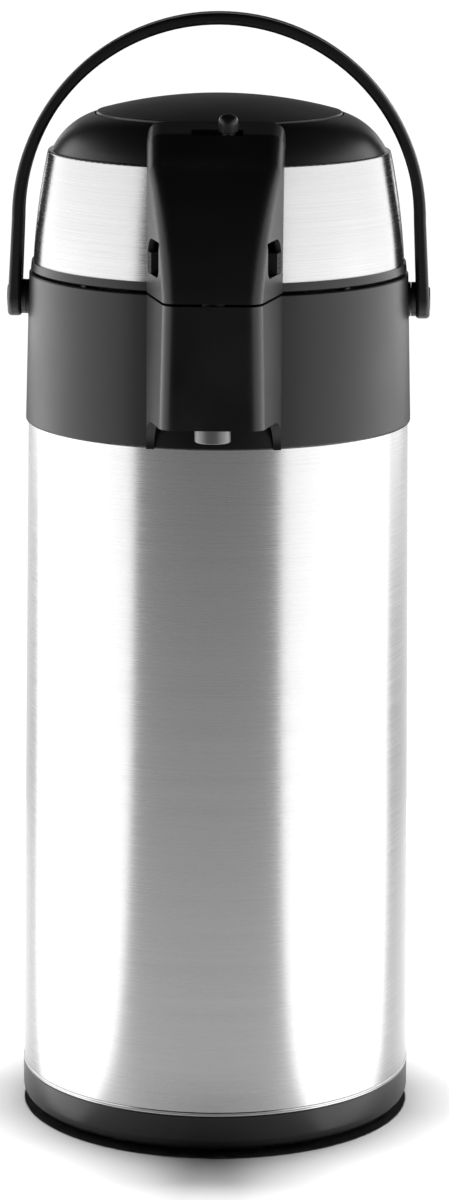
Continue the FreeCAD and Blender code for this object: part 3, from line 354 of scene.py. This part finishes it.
def handle_line():
    """The bail's parting line, moulded along the middle of its outer face."""
    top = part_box("handle")[1][2]
    tree = surface_of("handle")
    arch_radius, count, wide, high = 95 * MM, 121, 0.7 * MM, 0.14 * MM
    start, sweep = -4, 188
    middle = Vector((0, 0, top - arch_radius))
    points, outs, sides = [], [], []
    for k in range(count):
        turn = math.radians(start + sweep * k / (count - 1))
        out = Vector((math.cos(turn), 0, math.sin(turn)))
        hit, normal = tree.ray_cast(middle + out * WELL_OUTSIDE, -out)[:2]
        points.append(hit)
        outs.append(normal)
        sides.append(Vector((0, 1, 0)))
    ridge("handle_parting_line", points, outs, sides, wide, high, "black_plastic",
          BODY_OF["handle"])


def latch_ribs():
    """Three grip ribs on each latch's tab."""
    first, pitch, inset, run, count = 2.6, 2.1, 1.0, 4.6, 9
    wide, high = 1.0 * MM, 0.3 * MM
    for node, side in (("latch_left", -1.0), ("latch_right", 1.0)):
        _, rear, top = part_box(node)[1]
        tree = surface_of(node)
        for rib in range(3):
            level = top - (first + pitch * rib) * MM
            points, outs, sides = [], [], []
            for k in range(count):
                y = rear - (inset + run * k / (count - 1)) * MM
                hit, normal = from_the_side(tree, side, y, level)
                points.append(hit)
                outs.append(normal)
                sides.append(Vector((0, 0, 1)))
            ridge(node + "_rib_" + str(rib), points, outs, sides, wide, high, "latch_plastic",
                  BODY_OF[node])


def pump_parts():
    """The bellows and the spring, copied as pieces that ride on their bodies; the CAD parts are
    hidden.
    """
    joint = JOINTS["plate_push"]
    for entry in joint["deforming_nodes"]:
        node, fixed = entry["node"], entry["fixed_end_z_m"]
        mesh = NODES[node].data.copy()
        mesh.materials.clear()
        obj = piece(node + "_flexing", mesh, SLOT_OF[node], BODY_OF[node])
        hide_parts(node)
        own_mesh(obj)


steel_hem()
handle_line()
latch_ribs()
pivot_caps()
hinge_caps()
pump_parts()


# ---------------------------------------------------------------- studio

SIDE_RADIANCE = 3.0
FILL_RADIANCE = 1.1
REAR_RADIANCE = 0.4
TOP_RADIANCE = 215.0
FLOOR_RADIUS = 0.56
SKY_STRENGTH = 1.05
OVERHEAD = (0, 0, 9)


def floor_disc(name, radius, material, sides=128):
    mesh = bpy.data.meshes.new(name)
    turns = [2 * math.pi * k / sides for k in range(sides)]
    corners = [(radius * math.cos(t), radius * math.sin(t), 0) for t in turns]
    mesh.from_pydata(corners, [], [tuple(range(sides))])
    mesh.materials.append(material)
    obj = bpy.data.objects.new(name, mesh)
    bpy.context.scene.collection.objects.link(obj)
    return obj


def paper(name, tone):
    material, tree, shader = new_material(name)
    mottle = noise(tree, 2.0, 3.0)
    tint = ramp(tree, mottle, [(0.3, grey(tone * 0.985)), (0.7, grey(tone))])
    link(tree, tint, shader.inputs["Base Color"])
    shader.inputs["Roughness"].default_value = 0.9
    shader.inputs["Specular IOR Level"].default_value = 0.1
    return material


def panel(name, place, target, size, radiance, receivers=None, skips=None):
    """A rectangular soft light that faces a target; it may light only some objects, or skip some."""
    light = bpy.data.lights.new(name, "AREA")
    light.shape = "RECTANGLE"
    light.size, light.size_y = size
    light.energy = radiance * math.pi * size[0] * size[1]
    obj = bpy.data.objects.new(name, light)
    obj.location = place
    obj.rotation_euler = (Vector(target) - Vector(place)).to_track_quat("-Z", "Y").to_euler()
    bpy.context.scene.collection.objects.link(obj)
    chosen = receivers or skips
    if chosen:
        group = bpy.data.collections.new(name + "_receivers")
        for item in chosen:
            group.objects.link(item)
        if skips:
            for entry in group.collection_objects:
                entry.light_linking.link_state = "EXCLUDE"
        obj.light_linking.receiver_collection = group
    return obj


def lay_flat(light, turn=0.0):
    """Turn a light to face straight up, and hide it from the camera."""
    light.rotation_euler = (math.pi, 0, turn)
    light.visible_camera = False


def side_panel(name, side, front_angle, floor):
    """A long wall of light beside the object, whose front end stands at an angle from dead ahead."""
    away, back, height = 1.3, 4.0, 1.3
    turn = math.radians(front_angle)
    front = -away / math.tan(turn)
    middle = (front + back) / 2.0
    level = height / 2.0
    panel(name, (side * away, middle, level), (0, middle, level), (back - front, height),
          SIDE_RADIANCE, skips=[floor])
    # its twin lies just above the floor, along the same line
    near, far, depth, lift = 0.1, 1.6, 2.4, 0.004
    out = Vector((side * math.sin(turn), -math.cos(turn), 0))
    across = Vector((side * math.cos(turn), math.sin(turn), 0))
    place = out * (near + far) / 2.0 + across * depth / 2.0 + Vector((0, 0, lift))
    low = panel(name + "_low", place, OVERHEAD, (far - near, depth), SIDE_RADIANCE, skips=[floor])
    lay_flat(low, math.atan2(out.y, out.x))


def studio():
    floor = floor_disc("floor", FLOOR_RADIUS, paper("studio_white", 0.92))
    world = bpy.data.worlds.new("studio_air")
    world.use_nodes = True
    sky = world.node_tree.nodes["Background"]
    sky.inputs["Color"].default_value = (1.0, 1.0, 1.0, 1.0)
    sky.inputs["Strength"].default_value = SKY_STRENGTH
    # white to the camera alone; the panels light the object
    bpy.context.scene.world = world
    world.cycles_visibility.diffuse = False
    world.cycles_visibility.glossy = False
    side_panel("left_panel", -1, 48.0, floor)
    side_panel("right_panel", 1, 38.0, floor)
    # dim fills in front and behind, just below the floor's level; the collar is darker without them
    for name, middle in (("front_fill", -0.95), ("back_fill", 0.95)):
        fill = panel(name, (0, middle, -0.004), (0, middle, 9), (3.4, 2.5), FILL_RADIANCE,
                     skips=[floor, NODES["collar"]])
        lay_flat(fill)
    panel("rear_panel", (0, 3.2, 1.1), (0, 0, 0.6), (3.2, 1.4), REAR_RADIANCE, skips=[floor])
    panel("top_light", (0, 0.03, 2.4), (0, 0.031, 0), (0.5, 0.3), TOP_RADIANCE, receivers=[floor])


# lens and sensor in millimetres, distances in metres, turns in radians
CAMERA_LENS = 123.0
CAMERA_SENSOR = 36.0
CAMERA_SHIFT = -0.2
CAMERA_DISTANCE = 1.884
CAMERA_HEIGHT = 0.645
CAMERA_PITCH = 0.1529
CAMERA_ROLL = 0.005
CAMERA_AZIMUTH = math.radians(1.3)
CAMERA_AIM = -0.0015


def set_camera():
    """A long lens in front and above, with the vertical shift of a view camera."""
    camera = bpy.data.cameras.new("camera")
    camera.lens = CAMERA_LENS
    camera.sensor_width = CAMERA_SENSOR
    camera.shift_y = CAMERA_SHIFT
    obj = bpy.data.objects.new("camera", camera)
    turn = Matrix.Rotation(CAMERA_AZIMUTH, 4, "Z")
    stand = Matrix.Translation((0, -CAMERA_DISTANCE, CAMERA_HEIGHT))
    aim = Matrix.Rotation(CAMERA_AIM, 4, "Z") @ Matrix.Rotation(math.pi / 2 - CAMERA_PITCH, 4, "X")
    obj.matrix_world = turn @ stand @ aim @ Matrix.Rotation(CAMERA_ROLL, 4, "Z")
    bpy.context.scene.collection.objects.link(obj)
    bpy.context.scene.camera = obj


studio()
set_camera()
bpy.context.scene.view_settings.view_transform = "Standard"
